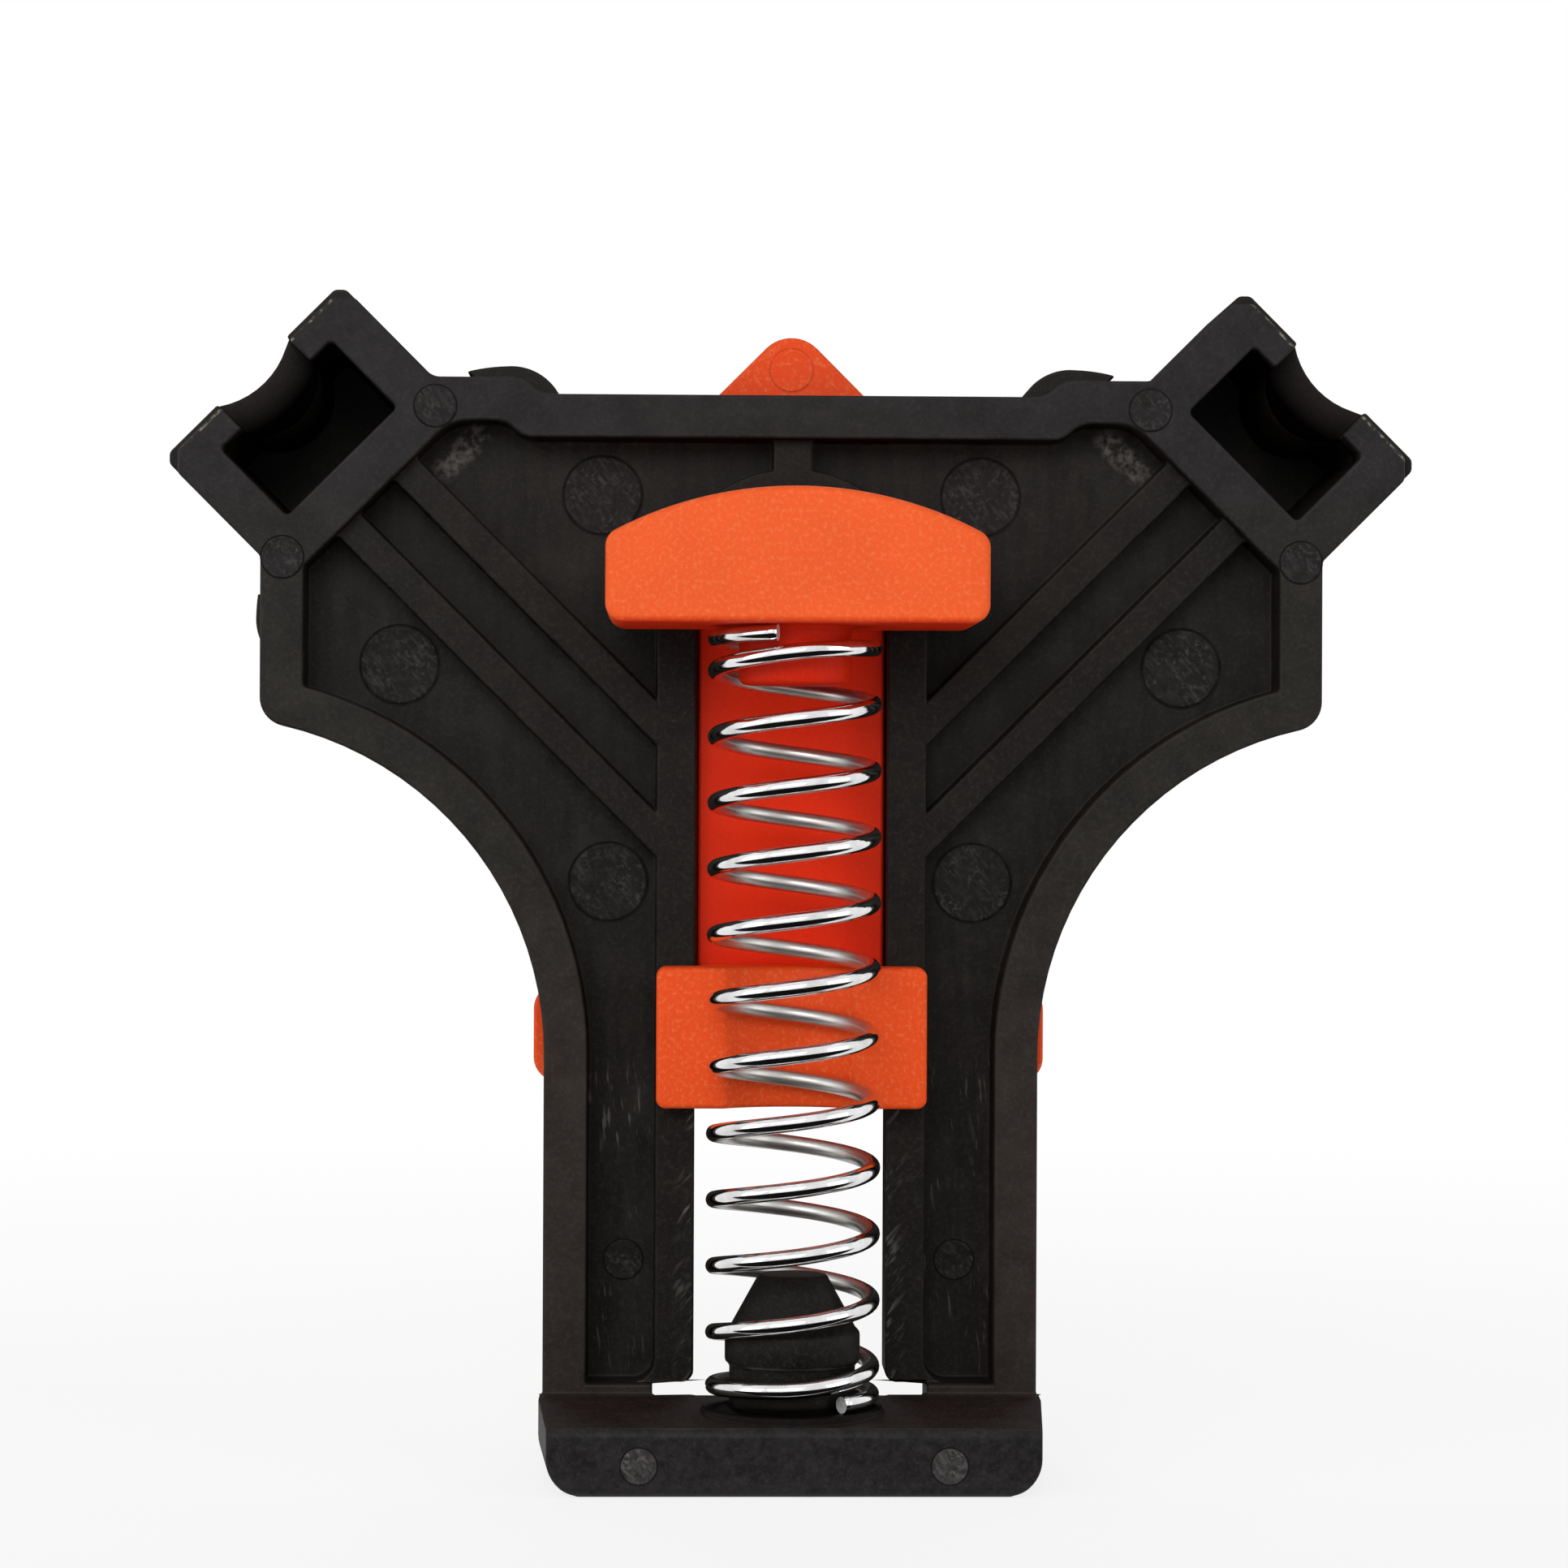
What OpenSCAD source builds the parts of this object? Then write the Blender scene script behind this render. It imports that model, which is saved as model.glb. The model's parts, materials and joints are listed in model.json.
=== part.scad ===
// One-handed spring corner clamp, standing on its palm plate with the arrow tip up.
// X runs across the clamp, Z from the palm plate to the tip, and Y from the open underside to the
// work side. The work face of the frame is y = 0 and the flat palm face is z = 0.

/* [Frame] */
// Width across the two arms of the frame
frame_w = 115.6; // [100:0.1:140]
// Width of the neck above the palm plate
neck_w = 53.7; // [48:0.1:60]
// Height of the straight top edge above the centres of the posts' pockets
top_rise = 3.9; // [2:0.1:6]
// Rise of the top edge towards each post
bump_h = 1.8; // [1:0.1:3]
// Distance from the middle to the middle of that rise
bump_x = 28.4; // [23:0.1:34]
// Radius of the hollow side curves
curve_r = 36.5; // [30:0.1:40]
// Height of the centres of the side curves
curve_z = 44.8; // [40:0.1:50]
// Radius of the lower corners of the arms
arm_corner_r = 3.2; // [1:0.1:5]
// Thickness of the floor plate
plate_t = 3; // [2:0.1:4]
// Depth of the rim from the work face
rim_h = 9; // [7:0.1:12]
// Width of the rim
rim_w = 4.7; // [3:0.1:6]
// Height of the posts, jaws, arrow and finger grip above the work face
work_h = 20; // [18:0.1:26]

/* [Slot and ribs] */
// Width of the slot that guides the slider
slot_w = 20.9; // [16:0.1:24]
// Distance from the top edge down to the centre of the slot's round upper end
slot_end_d = 22.6; // [20:0.1:26]
// Width of the rails beside the slot
rail_w = 4.3; // [3:0.05:6]
// Height of the rails and ribs above the floor
rib_h = 4; // [2:0.1:5]
// Width of the diagonal ribs
rib_w = 3.5; // [2:0.1:5]
// Clear gap between the two diagonal ribs of an arm
rib_gap = 5.15; // [3:0.05:8]
// Width of the stub rib under the top rim
stub_w = 4.3; // [2:0.1:8]
// Height of the thin slit at the foot of the rails
slit_h = 1.05; // [0.6:0.05:1.5]
// Depth of the slot's foot below that slit
slot_foot = 0.9; // [0.4:0.1:1.2]
// Radius at the foot of the rails
rail_foot_r = 1.3; // [0.6:0.1:2]
// Radius of the lower inner corners of the two hollows beside the rails
hollow_r = 2.5; // [1:0.1:3.5]

/* [Posts] */
// Distance from the middle to the centre of a post's pocket
post_x = 52.6; // [48:0.1:58]
// Length of the pocket across the arm
pocket_w = 16.8; // [12:0.1:20]
// Length of the pocket along the arm
pocket_d = 10.2; // [7:0.1:12]
// Side walls of the post
post_side_t = 5.1; // [3:0.1:6]
// Wall of the post towards the arrow
post_inner_t = 5.1; // [3:0.1:6]
// Wall of the post away from the arrow
post_outer_t = 3.2; // [2:0.1:4]
// Thickness of the closed end of the post
post_cap_t = 2.5; // [1.5:0.1:4]
// Corner radius of the pocket
pocket_r = 0.6; // [0.3:0.1:1.5]
// Corner chamfer of the post
post_chamfer = 1.8; // [1:0.1:3]
// Corner chamfer of the proud part of its outer wall
lip_chamfer = 0.9; // [0.5:0.1:2]
// Radius between the post and the frame's top edge
post_root_r = 2; // [1:0.1:3]
// Radius of the tray's corner between the post and the top rim
tray_corner_r = 5; // [2:0.1:6]
// How far the outer wall stands proud below its rim
post_lip = 0.7; // [0.3:0.1:1]
// Width of the notch in the rim of the outer wall
notch_w = 10.5; // [6:0.1:12]
// Depth of that notch
notch_h = 4; // [1.5:0.1:5]
// Radius of the half-round boss behind the notch
boss_r = 6.4; // [5:0.1:7]

/* [Palm plate] */
// Width of the palm plate at its root and on the work side
palm_w = 54.4; // [48:0.1:60]
// How much narrower the palm plate is at its front edge
palm_taper = 3; // [1:0.1:5]
// Thickness of the palm plate at its front edge
palm_t = 7.2; // [5:0.1:8]
// Thickness of the palm plate at its edge on the work side
palm_back_t = 4.9; // [4:0.1:6]
// Reach of the palm plate on the underside
palm_front = 29; // [28.5:0.1:34]
// Reach of the palm plate on the work side
palm_back = 12; // [6:0.1:20]
// Radius of the two lower corners
palm_corner_r = 4; // [2:0.1:6]
// Extra thickness at the root of the palm plate
palm_root = 0.8; // [0.4:0.1:1.2]
// Radius of the rounded front and back edges of the palm plate
palm_edge_r = 1; // [0.5:0.1:2]

/* [Spring] */
// Outside diameter of the coil
spring_od = 18.6; // [16:0.1:19.5]
// Wire diameter
wire_d = 1.8; // [1.2:0.1:2.2]
// Number of turns
spring_turns = 12.86; // [11:0.01:13]
// Number of closed turns at each end
end_turns = 0.923; // [0.7:0.001:1.2]
// Height of the post inside the lower end of the coil, above its seat
spring_post_h = 14; // [11:0.1:16]
// Height of the snap collar's lower edge above the seat
collar_z = 4.5; // [3.5:0.1:5.5]
// Height of the snap collar
collar_h = 3.9; // [2.5:0.1:5]
// How far the snap collar stands out of the post
collar_step = 0.5; // [0.3:0.1:0.8]

/* [Slider] */
// Height of the sharp point that the two arrow faces run to
arrow_z = 125.5; // [122:0.05:126]
// Half the width of the arrow, to the ends of its faces
arrow_x = 41; // [34:0.1:44]
// Thickness of the two arrow arms
arrow_t = 12; // [9:0.1:14]
// Radius of the arrow tip
tip_r = 4; // [2:0.1:6]
// Width of the shaft between the arrow and the finger grip
shaft_w = 26; // [23:0.1:28]
// Width across the two finger wings
wing_w = 56.5; // [54:0.1:64]
// Thickness of a finger wing at its tip
wing_t = 10.8; // [8:0.1:13]
// Height of the wings' lower edge above the end of the keel
wing_rise = 2.1; // [0.5:0.1:5]
// Radius of the finger hollows
finger_r = 8.5; // [7:0.1:10]
// Depth of the finger hollows
finger_d = 2.8; // [1.5:0.1:4]
// Length of the keel in the slot, below the centre of its round end
keel_l = 54.8; // [50:0.1:60]
// Depth of the keel below the work face
keel_h = 4; // [3:0.1:6]

/* [Blocks] */
// Width of the thrust block that the spring pushes on
thrust_w = 40.2; // [36:0.1:44]
// Distance from the centre of the slot's round end down to the face that the spring pushes on
thrust_d = 2.9; // [2:0.1:4]
// Height of the thrust block at its middle
thrust_h = 14.3; // [13:0.1:16]
// Radius of the arched top of the thrust block
thrust_arch_r = 41.3; // [38:0.1:60]
// Corner radius of the thrust block
thrust_corner_r = 2; // [1:0.1:3]
// Length of the boss inside the spring
thrust_boss_l = 6.3; // [5:0.1:15]
// Radial gap between that boss and the spring
thrust_boss_gap = 1.5; // [0.3:0.1:2]
// Width of the guide block that rides on the rails
guide_w = 29.3; // [26:0.1:30]
// Length of the guide block along the slot
guide_l = 15.3; // [12:0.1:18]
// Thickness of the guide block outside the slot
guide_t = 4.7; // [4:0.1:5.5]
// Corner radius of the guide block
guide_corner_r = 1.1; // [0.5:0.1:2]

/* [Jaws] */
// Length of a jaw across its arm
jaw_l = 43.3; // [40:0.1:48]
// How far a jaw's middle lies from the arm's middle, towards the top edge
jaw_shift = 0.9; // [0:0.1:1.5]
// Radius of a jaw's round ends
jaw_end_r = 6; // [4:0.1:7]
// Distance from a jaw's gripping face to the centres of its round ends
jaw_end_d = 9.8; // [8:0.1:11]
// How much shorter the gripping face is at each end
jaw_taper = 3; // [1:0.1:5]
// Radius of a jaw's back
jaw_back_r = 19.5; // [16:0.1:24]
// Distance from the post's pocket centre to the jaw's gripping face
jaw_face = 23.8; // [23:0.1:25]
// Thickness of a jaw between its gripping face and the post
jaw_web = 10.5; // [9.5:0.1:11]
// Clear gap between the post and each side of the recess in a jaw's back
jaw_side_gap = 3.3; // [2:0.1:4]
// Clear gap between a jaw and the arrow with the slider at rest
jaw_gap = 4.35; // [3:0.05:6]
// Diameter of the pivot pin
pin_d = 3.5; // [3:0.1:4]
// Distance from the post's pocket centre to the pivot
pivot_u = 16; // [15.6:0.1:16.6]
// Thickness of the lug on the post that carries the pin
lug_t = 6; // [4:0.1:8]
// Radius of the lug's end
lug_r = 3.6; // [3:0.1:4]
// Number of grip grooves on a jaw's face
groove_n = 7; // [3:2:11]
// Radius of a grip groove
groove_r = 0.6; // [0.4:0.1:0.9]

/* [Screws] */
// Shank diameter of the self-tapping screws
screw_d = 3; // [2.5:0.1:3.5]
// Shank length
screw_l = 13; // [11:0.1:13.5]
// Head diameter
screw_head_d = 5.6; // [4.5:0.1:6.5]
// Head height
screw_head_h = 2.2; // [1.6:0.1:3]
// Height of the screw seats above the work face
screw_seat = 3; // [2:0.1:5]

/* [Clearances] */
// Gap between parts that slide or swing past each other
run_gap = 0.3; // [0.2:0.05:0.4]
// Gap on each side of the keel in the slot
keel_gap = 0.25; // [0.15:0.05:0.4]
// Gap round the spring
spring_gap = 0.3; // [0.2:0.05:0.5]
// Radial clearance of the pin in its lug
pin_gap = 0.05; // [0.02:0.01:0.1]
// Radial clearance of a seated pin or screw shank
seat_gap = 0.02; // [0.01:0.01:0.05]

/* [Hidden] */
$fn = 96;
cut = 1;
// How far tangent curves run into each other, so that they cross
tuck = 0.01;

black = [0.13, 0.13, 0.13];
orange = [0.95, 0.36, 0.12];
steel = [0.75, 0.75, 0.77];

arm_x = frame_w / 2;
neck_x = neck_w / 2;
curve_x = neck_x + curve_r;
slot_x = slot_w / 2;
rail_x = slot_x + rail_w;
rail_y = -plate_t - rib_h;
step_tan = tan(22.5);
rib_t = (rib_gap + rib_w) / 2;
palm_root_z = palm_t + palm_root;
// The neck's legs reach down into the palm plate to where its lower corners start to round off
palm_foot_z = palm_corner_r;
slit_x = rail_x + 0.2;
slot_z = palm_root_z + slit_h;

// Height of a post's pocket centre: the jaws' faces stand the jaw gap away from the arrow's faces
post_z = arrow_z - post_x + sqrt(2) * (jaw_face + jaw_gap);
top_z = post_z + top_rise;
slot_end_z = top_z - slot_end_d;
keel_z0 = slot_end_z - keel_l;
wing_z = keel_z0 + wing_rise;
thrust_z = slot_end_z - thrust_d;

// Post sizes in the arm's own axes: t across the arm, u towards the arrow
post_t = pocket_w / 2 + post_side_t;
post_in_u = pocket_d / 2 + post_inner_t;
post_out_u = -pocket_d / 2 - post_outer_t;
arm_angle = 135;
relief_sag = post_lip + 0.9;
relief_r = (pow(notch_w / 2, 2) + pow(relief_sag, 2)) / (2 * relief_sag);
relief_u = post_out_u - post_lip + relief_sag - relief_r;
lug_y = work_h / 2;

// Spring seat and axis: the coil lies just clear of the rim
spring_r = (spring_od - wire_d) / 2;
spring_y = -rim_h - spring_od / 2 - 0.2;
seat_h = 0.2;
seat_r = spring_od / 2 + 0.4;
seat_z = palm_root_z + seat_h;
wire_gap = 0.05;
spring_z0 = seat_z + wire_gap + wire_d / 2;
spring_z1 = thrust_z - wire_gap - wire_d / 2;
closed_pitch = wire_d + 0.1;
open_rise = spring_z1 - spring_z0 - 2 * end_turns * closed_pitch;
open_pitch = open_rise / (spring_turns - 2 * end_turns);
spring_start = -53.5;
spring_steps = 18;
wire_sides = 8;
spring_post_r = spring_r - wire_d / 2 - spring_gap;

keel_x = slot_x - keel_gap;
block_y = rail_y - run_gap;
thrust_y = -palm_front;
guide_y = block_y - guide_t;
groove_bed_r = spring_od / 2 + spring_gap;

jaw_end_t = jaw_l / 2 - jaw_end_r;
jaw_end_u = jaw_face - jaw_end_d;
jaw_back = jaw_face - jaw_web;
jaw_recess_t = post_t + jaw_side_gap;
lug_slot_r = lug_r + 3 * run_gap;
jaw_y0 = run_gap;
jaw_y1 = work_h;
pin_y0 = jaw_y0 + 0.9;
pin_y1 = jaw_y1 - 0.6;

thrust_screw_x = 5.5;
thrust_screw_z = thrust_z + 4.9;
guide_screw_x = keel_x - screw_d / 2 - 1.3;
guide_screw_z = keel_z0 + guide_l / 2;

// Extrudes a drawing in the x-z plane from y0 to y1
module slab(y0, y1) {
    translate([0, y1, 0]) rotate([90, 0, 0]) linear_extrude(y1 - y0) children();
}

// Repeats a right-hand drawing or solid on the left
module both_sides() {
    children();
    mirror([1, 0, 0]) children();
}

// Places a drawing in the right arm's own t-u axes
module on_arm() {
    translate([post_x, post_z]) rotate(arm_angle) children();
}

module rounded_rect(x0, x1, y0, y1, r) {
    translate([x0 + r, y0]) square([x1 - x0 - 2 * r, y1 - y0]);
    translate([x0, y0 + r]) square([x1 - x0, y1 - y0 - 2 * r]);
    for (x = [x0 + r, x1 - r], y = [y0 + r, y1 - r]) translate([x, y]) circle(r);
}

// Rise of the top edge in two tangent arcs of 45 degrees, then level for the rest of its length
module edge_rise(l) {
    r = bump_h / (2 - sqrt(2));
    run = r / sqrt(2);
    difference() {
        translate([-run, -cut]) square([2 * run, cut + bump_h / 2]);
        translate([-run, r]) circle(r);
    }
    translate([run, bump_h - r]) circle(r);
    translate([run, -cut]) square([l - run, cut + bump_h]);
}

// Fills a corner of 135 degrees, between an edge along -X and one that goes down to the right
module wide_fillet(r) {
    x = tuck - r * step_tan;
    reach = (r + cut) / sqrt(2);
    translate([x, -r]) difference() {
        polygon([[0, 0], [0, r + cut], [cut - x, r + cut], [reach, reach]]);
        circle(r);
    }
}

// Outline of the frame, drawn in by inset all round
module frame_outline(inset) {
    rise_x = bump_x + inset * step_tan;
    edge_x = arm_x - inset;
    foot_z = palm_foot_z + (slot_z - palm_foot_z) * inset / rim_w;
    difference() {
        union() {
            translate([-edge_x, curve_z]) square([2 * edge_x, top_z - inset - curve_z]);
            both_sides() translate([rise_x, top_z - inset]) edge_rise(edge_x - rise_x);
            translate([inset - neck_x, foot_z]) square([neck_w - 2 * inset, curve_z]);
        }
        both_sides() translate([curve_x, curve_z]) circle(curve_r + inset);
    }
}

// What the rounded lower corner of the right arm takes away from the sharp outline
module arm_corner_cut() {
    r = arm_corner_r;
    x = arm_x - r;
    z = curve_z + sqrt(pow(curve_r + r, 2) - pow(curve_x - x, 2));
    touch = [(curve_x - x) * r / (curve_r + r), -(z - curve_z) * r / (curve_r + r)];
    translate([x, z]) difference() {
        polygon([[0, 0], [r + cut, 0], [r + cut, -2 * r], 2 * touch]);
        circle(r);
    }
}

// Fills the corner between two straight edges along +X and +Z with a radius
module inner_fillet(r) {
    difference() {
        translate([-cut, -cut]) square(r + cut);
        translate([r, r]) circle(r);
    }
}

// Strip from z0 to the round upper end of the slot
module slot_shape(half_w, z0) {
    translate([-half_w, z0]) square([2 * half_w, slot_end_z - z0]);
    translate([0, slot_end_z]) circle(half_w);
}

// Side view of the palm plate, with rounded front and back edges
module palm_profile() {
    r = palm_edge_r;
    rounded_rect(-palm_front, -rim_h, 0, palm_t, r);
    rounded_rect(-rim_h, palm_back, 0, palm_back_t, r);
    polygon([[r - palm_front, 0], [palm_back - r, 0], [palm_back - r, palm_back_t],
        [-rim_h, palm_root_z], [r - palm_front, palm_t]]);
}

// Plate with rounded lower corners, longer than the palm plate
module palm_blank() {
    slab(-2 * palm_front, 2 * palm_front) {
        rounded_rect(-palm_w / 2, palm_w / 2, 0, 3 * palm_corner_r, palm_corner_r);
    }
}

// The same plate, turned so that its right side tapers in front of the frame's rim
module leaning_blank() {
    lean = atan2(palm_taper / 2, palm_front - rim_h);
    translate([palm_w / 2, -rim_h, 0]) rotate(lean) translate([-palm_w / 2, 0, 0]) palm_blank();
}

module palm_plate() {
    intersection() {
        palm_blank();
        leaning_blank();
        mirror([1, 0, 0]) leaning_blank();
        rotate([90, 0, 90]) translate([0, 0, -palm_w]) linear_extrude(2 * palm_w) palm_profile();
    }
}

// Seat ring, shank, snap collar and tapered nose that hold the lower end of the spring
module spring_post() {
    r = spring_post_r;
    shank_r = r - collar_step;
    collar_top = seat_z + collar_z + collar_h;
    translate([0, spring_y, 0]) rotate_extrude() polygon([[0, palm_t - cut], [seat_r, palm_t - cut],
        [seat_r, seat_z], [shank_r, seat_z], [shank_r, seat_z + collar_z],
        [r, seat_z + collar_z + collar_step / 2], [r, collar_top - collar_step], [shank_r, collar_top],
        [r / 2, seat_z + spring_post_h], [0, seat_z + spring_post_h]]);
}

module post_plan(u0, k) {
    polygon([[-post_t, u0 + k], [k - post_t, u0], [post_t - k, u0], [post_t, u0 + k],
        [post_t, post_in_u - k], [post_t - k, post_in_u], [k - post_t, post_in_u], [-post_t, post_in_u - k]]);
}

module post_tower() {
    slab(-rim_h, -rim_h + notch_h) on_arm() post_plan(post_out_u, post_chamfer);
    slab(-rim_h + notch_h / 2, work_h) on_arm() post_plan(post_out_u - post_lip, lip_chamfer);
}

// Rounded corners between the right post and the frame's top edge, outside and inside the tray
module post_roots() {
    edge_z = top_z + bump_h;
    tray_z = edge_z - rim_w;
    slab(-rim_h, 0) translate([post_x + edge_z - post_z - post_t * sqrt(2), edge_z]) {
        mirror([0, 1]) wide_fillet(post_root_r);
    }
    slab(-rim_h, -cut) translate([post_x + post_z - tray_z - post_in_u * sqrt(2), tray_z]) {
        wide_fillet(tray_corner_r);
    }
}

module post_hollows() {
    slab(-rim_h - cut, work_h - post_cap_t) on_arm() {
        rounded_rect(-pocket_w / 2, pocket_w / 2, -pocket_d / 2, pocket_d / 2, pocket_r);
    }
    slab(-rim_h - cut, -rim_h + notch_h) on_arm() {
        translate([-notch_w / 2, -pocket_d / 2 - 2 * post_outer_t]) square([notch_w, 2 * post_outer_t + cut]);
    }
    slab(-rim_h - cut, work_h + cut) on_arm() translate([0, relief_u]) circle(relief_r);
}

module post_boss() {
    slab(-rim_h + notch_h, work_h - post_cap_t / 2) on_arm() difference() {
        intersection() {
            translate([0, post_out_u]) circle(boss_r);
            translate([-boss_r, post_out_u]) square(2 * boss_r);
        }
        translate([0, relief_u]) circle(relief_r);
    }
}

// Lug on the post that carries the jaw's pivot pin
module jaw_lug() {
    slab(lug_y - lug_t / 2, lug_y + lug_t / 2) on_arm() difference() {
        union() {
            translate([-lug_r, post_in_u - cut]) square([2 * lug_r, pivot_u - post_in_u + cut]);
            translate([0, pivot_u]) circle(lug_r);
        }
        translate([0, pivot_u]) circle(pin_d / 2 + pin_gap);
    }
}

module arm_ribs() {
    slab(rail_y, -cut) intersection() {
        on_arm() for (t = [-rib_t, rib_t]) {
            translate([t - rib_w / 2, post_in_u - cut]) square([rib_w, 2 * post_x]);
        }
        translate([rail_x - rail_w / 2, curve_z]) square([post_x, top_z]);
    }
}

// Rimmed plate with rails, ribs and posts, open at the slit above the palm plate
module frame_plate() difference() {
    union() {
        difference() {
            slab(-rim_h, 0) difference() {
                frame_outline(0);
                both_sides() arm_corner_cut();
            }
            slab(-rim_h - cut, -plate_t) frame_outline(rim_w);
        }
        slab(rail_y, -cut) slot_shape(rail_x, slot_z);
        both_sides() slab(rail_y, -cut) translate([rail_x, slot_z]) inner_fillet(hollow_r);
        slab(rail_y, -cut) translate([-stub_w / 2, slot_end_z]) {
            square([stub_w, top_z - slot_end_z - rim_w / 2]);
        }
        both_sides() arm_ribs();
        both_sides() post_tower();
        both_sides() post_roots();
    }
    slab(-rim_h - cut, cut) {
        translate([-slit_x, palm_foot_z - cut]) square([2 * slit_x, slot_z - palm_foot_z + cut]);
        both_sides() translate([slot_x, slot_z]) inner_fillet(rail_foot_r);
    }
    both_sides() post_hollows();
}

module clamp_frame() color(black) {
    difference() {
        union() {
            frame_plate();
            palm_plate();
        }
        slab(-rim_h - cut, cut) slot_shape(slot_x, palm_root_z - slot_foot);
    }
    both_sides() post_boss();
    both_sides() jaw_lug();
    spring_post();
}

// Height of the wire's centre after s turns: closed turns at both ends, open ones between
function wire_z(s) = spring_z0 + closed_pitch * min(s, end_turns)
    + open_pitch * max(0, min(s, spring_turns - end_turns) - end_turns)
    + closed_pitch * max(0, s - spring_turns + end_turns);
function wire_ring(s) = let (a = spring_start + 360 * s) [for (k = [0 : wire_sides - 1])
    let (b = 360 * k / wire_sides, r = spring_r + wire_d / 2 * cos(b))
    [r * cos(a), spring_y + r * sin(a), wire_z(s) + wire_d / 2 * sin(b)]];

module return_spring() color(steel) {
    rings = ceil(spring_turns * spring_steps);
    n = wire_sides;
    points = [for (i = [0 : rings]) each wire_ring(spring_turns * i / rings)];
    sides = [for (i = [0 : rings - 1], k = [0 : n - 1])
        [i * n + k, i * n + (k + 1) % n, (i + 1) * n + (k + 1) % n, (i + 1) * n + k]];
    first = [for (k = [n - 1 : -1 : 0]) k];
    last = [for (k = [0 : n - 1]) rings * n + k];
    polyhedron(points, concat([first], sides, [last]));
}

module arrow_plan() {
    end_x = arrow_x - arrow_t / sqrt(2);
    end_z = arrow_z - arrow_x - arrow_t / sqrt(2);
    tip_z = arrow_z - tip_r * sqrt(2);
    touch = tip_r / sqrt(2);
    polygon([[touch, tip_z + touch], [arrow_x, arrow_z - arrow_x], [end_x, end_z],
        [0, arrow_z - arrow_t * sqrt(2)], [-end_x, end_z], [-arrow_x, arrow_z - arrow_x],
        [-touch, tip_z + touch]]);
    translate([0, tip_z]) circle(tip_r);
    both_sides() translate([(arrow_x + end_x) / 2, (arrow_z - arrow_x + end_z) / 2]) circle(arrow_t / 2);
}

module grip_plan() {
    wing_x = wing_w / 2;
    hollow_x = (shaft_w / 2 + wing_x) / 2 - finger_d / 4;
    difference() {
        rounded_rect(-wing_x, wing_x, wing_z, wing_z + wing_t, wing_t / 4);
        both_sides() translate([hollow_x, wing_z + wing_t + finger_r - finger_d]) circle(finger_r);
    }
    translate([-shaft_w / 2, wing_z + wing_t / 2]) {
        square([shaft_w, arrow_z - arrow_t * sqrt(2) - wing_z]);
    }
}

module screw_places() {
    for (x = [-thrust_screw_x, thrust_screw_x]) translate([x, thrust_screw_z]) children();
    for (x = [-guide_screw_x, guide_screw_x]) translate([x, guide_screw_z]) children();
}

module slider() color(orange) difference() {
    union() {
        slab(run_gap, work_h) {
            arrow_plan();
            grip_plan();
        }
        slab(-keel_h, run_gap + cut) slot_shape(keel_x, keel_z0);
    }
    slab(-keel_h - cut, screw_seat + cut) screw_places() circle(screw_d / 2 + 0.1);
    slab(screw_seat, work_h + cut) screw_places() circle(screw_head_d / 2 + run_gap);
}

// Block with straight sides and an arched top, with rounded corners
module arched_plan(w, z0, h, arch_r, r) {
    x = w / 2 - r;
    arch_z = z0 + h - arch_r;
    z = arch_z + sqrt(pow(arch_r - r, 2) - x * x);
    touch_x = x * arch_r / (arch_r - r);
    rounded_rect(-w / 2, w / 2, z0, z + r, r);
    intersection() {
        translate([0, arch_z]) circle(arch_r);
        translate([-touch_x, z]) square([2 * touch_x, h]);
    }
}

module thrust_block() color(orange) difference() {
    union() {
        slab(thrust_y, block_y) arched_plan(thrust_w, thrust_z, thrust_h, thrust_arch_r, thrust_corner_r);
        slab(block_y - cut, -keel_h) intersection() {
            slot_shape(keel_x, keel_z0);
            translate([-slot_w, thrust_z]) square([2 * slot_w, thrust_h - thrust_corner_r]);
        }
        translate([0, spring_y, thrust_z - thrust_boss_l]) {
            cylinder(h = thrust_boss_l + cut, r = spring_r - wire_d / 2 - thrust_boss_gap);
        }
    }
    slab(screw_seat - screw_l - cut, 0) screw_places() circle(screw_d / 2 + seat_gap);
}

module guide_block() color(orange) difference() {
    union() {
        slab(guide_y, block_y) {
            rounded_rect(-guide_w / 2, guide_w / 2, keel_z0, keel_z0 + guide_l, guide_corner_r);
        }
        slab(block_y - cut, -keel_h) translate([-keel_x, keel_z0]) square([2 * keel_x, guide_l]);
    }
    translate([0, spring_y, keel_z0 - cut]) cylinder(h = guide_l + 2 * cut, r = groove_bed_r);
    slab(screw_seat - screw_l - run_gap, 0) screw_places() circle(screw_d / 2 + seat_gap);
}

// Right half of a jaw's outline, in the jaw's own axes: tapered face, round end and curved back
module half_jaw() {
    rise = jaw_end_d - jaw_end_r;
    reach = norm([jaw_taper, rise]);
    side = jaw_end_r - tuck;
    back_d = (jaw_back_r - jaw_end_r) / sqrt(2) + tuck;
    touch = jaw_end_r / sqrt(2);
    translate([jaw_end_t, jaw_end_u]) {
        circle(jaw_end_r);
        translate([-jaw_taper, rise]) circle(jaw_end_r);
        rotate(atan2(jaw_taper, rise)) translate([-side, 0]) square([2 * side, reach]);
        intersection() {
            translate([-back_d, back_d]) circle(jaw_back_r);
            translate([-jaw_end_t, -jaw_back_r]) square([jaw_end_t + touch, jaw_back_r]);
        }
    }
    translate([0, jaw_end_u - cut]) square([jaw_end_t - jaw_taper, jaw_end_d + cut]);
}

module jaw_plan() {
    difference() {
        translate([jaw_shift, 0]) both_sides() half_jaw();
        translate([-jaw_recess_t, 0]) square([2 * jaw_recess_t, jaw_back]);
        for (i = [0 : groove_n - 1]) {
            along = (jaw_end_t - jaw_taper) * (2 * i / (groove_n - 1) - 1);
            translate([jaw_shift + along, jaw_face]) circle(groove_r);
        }
    }
}

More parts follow.
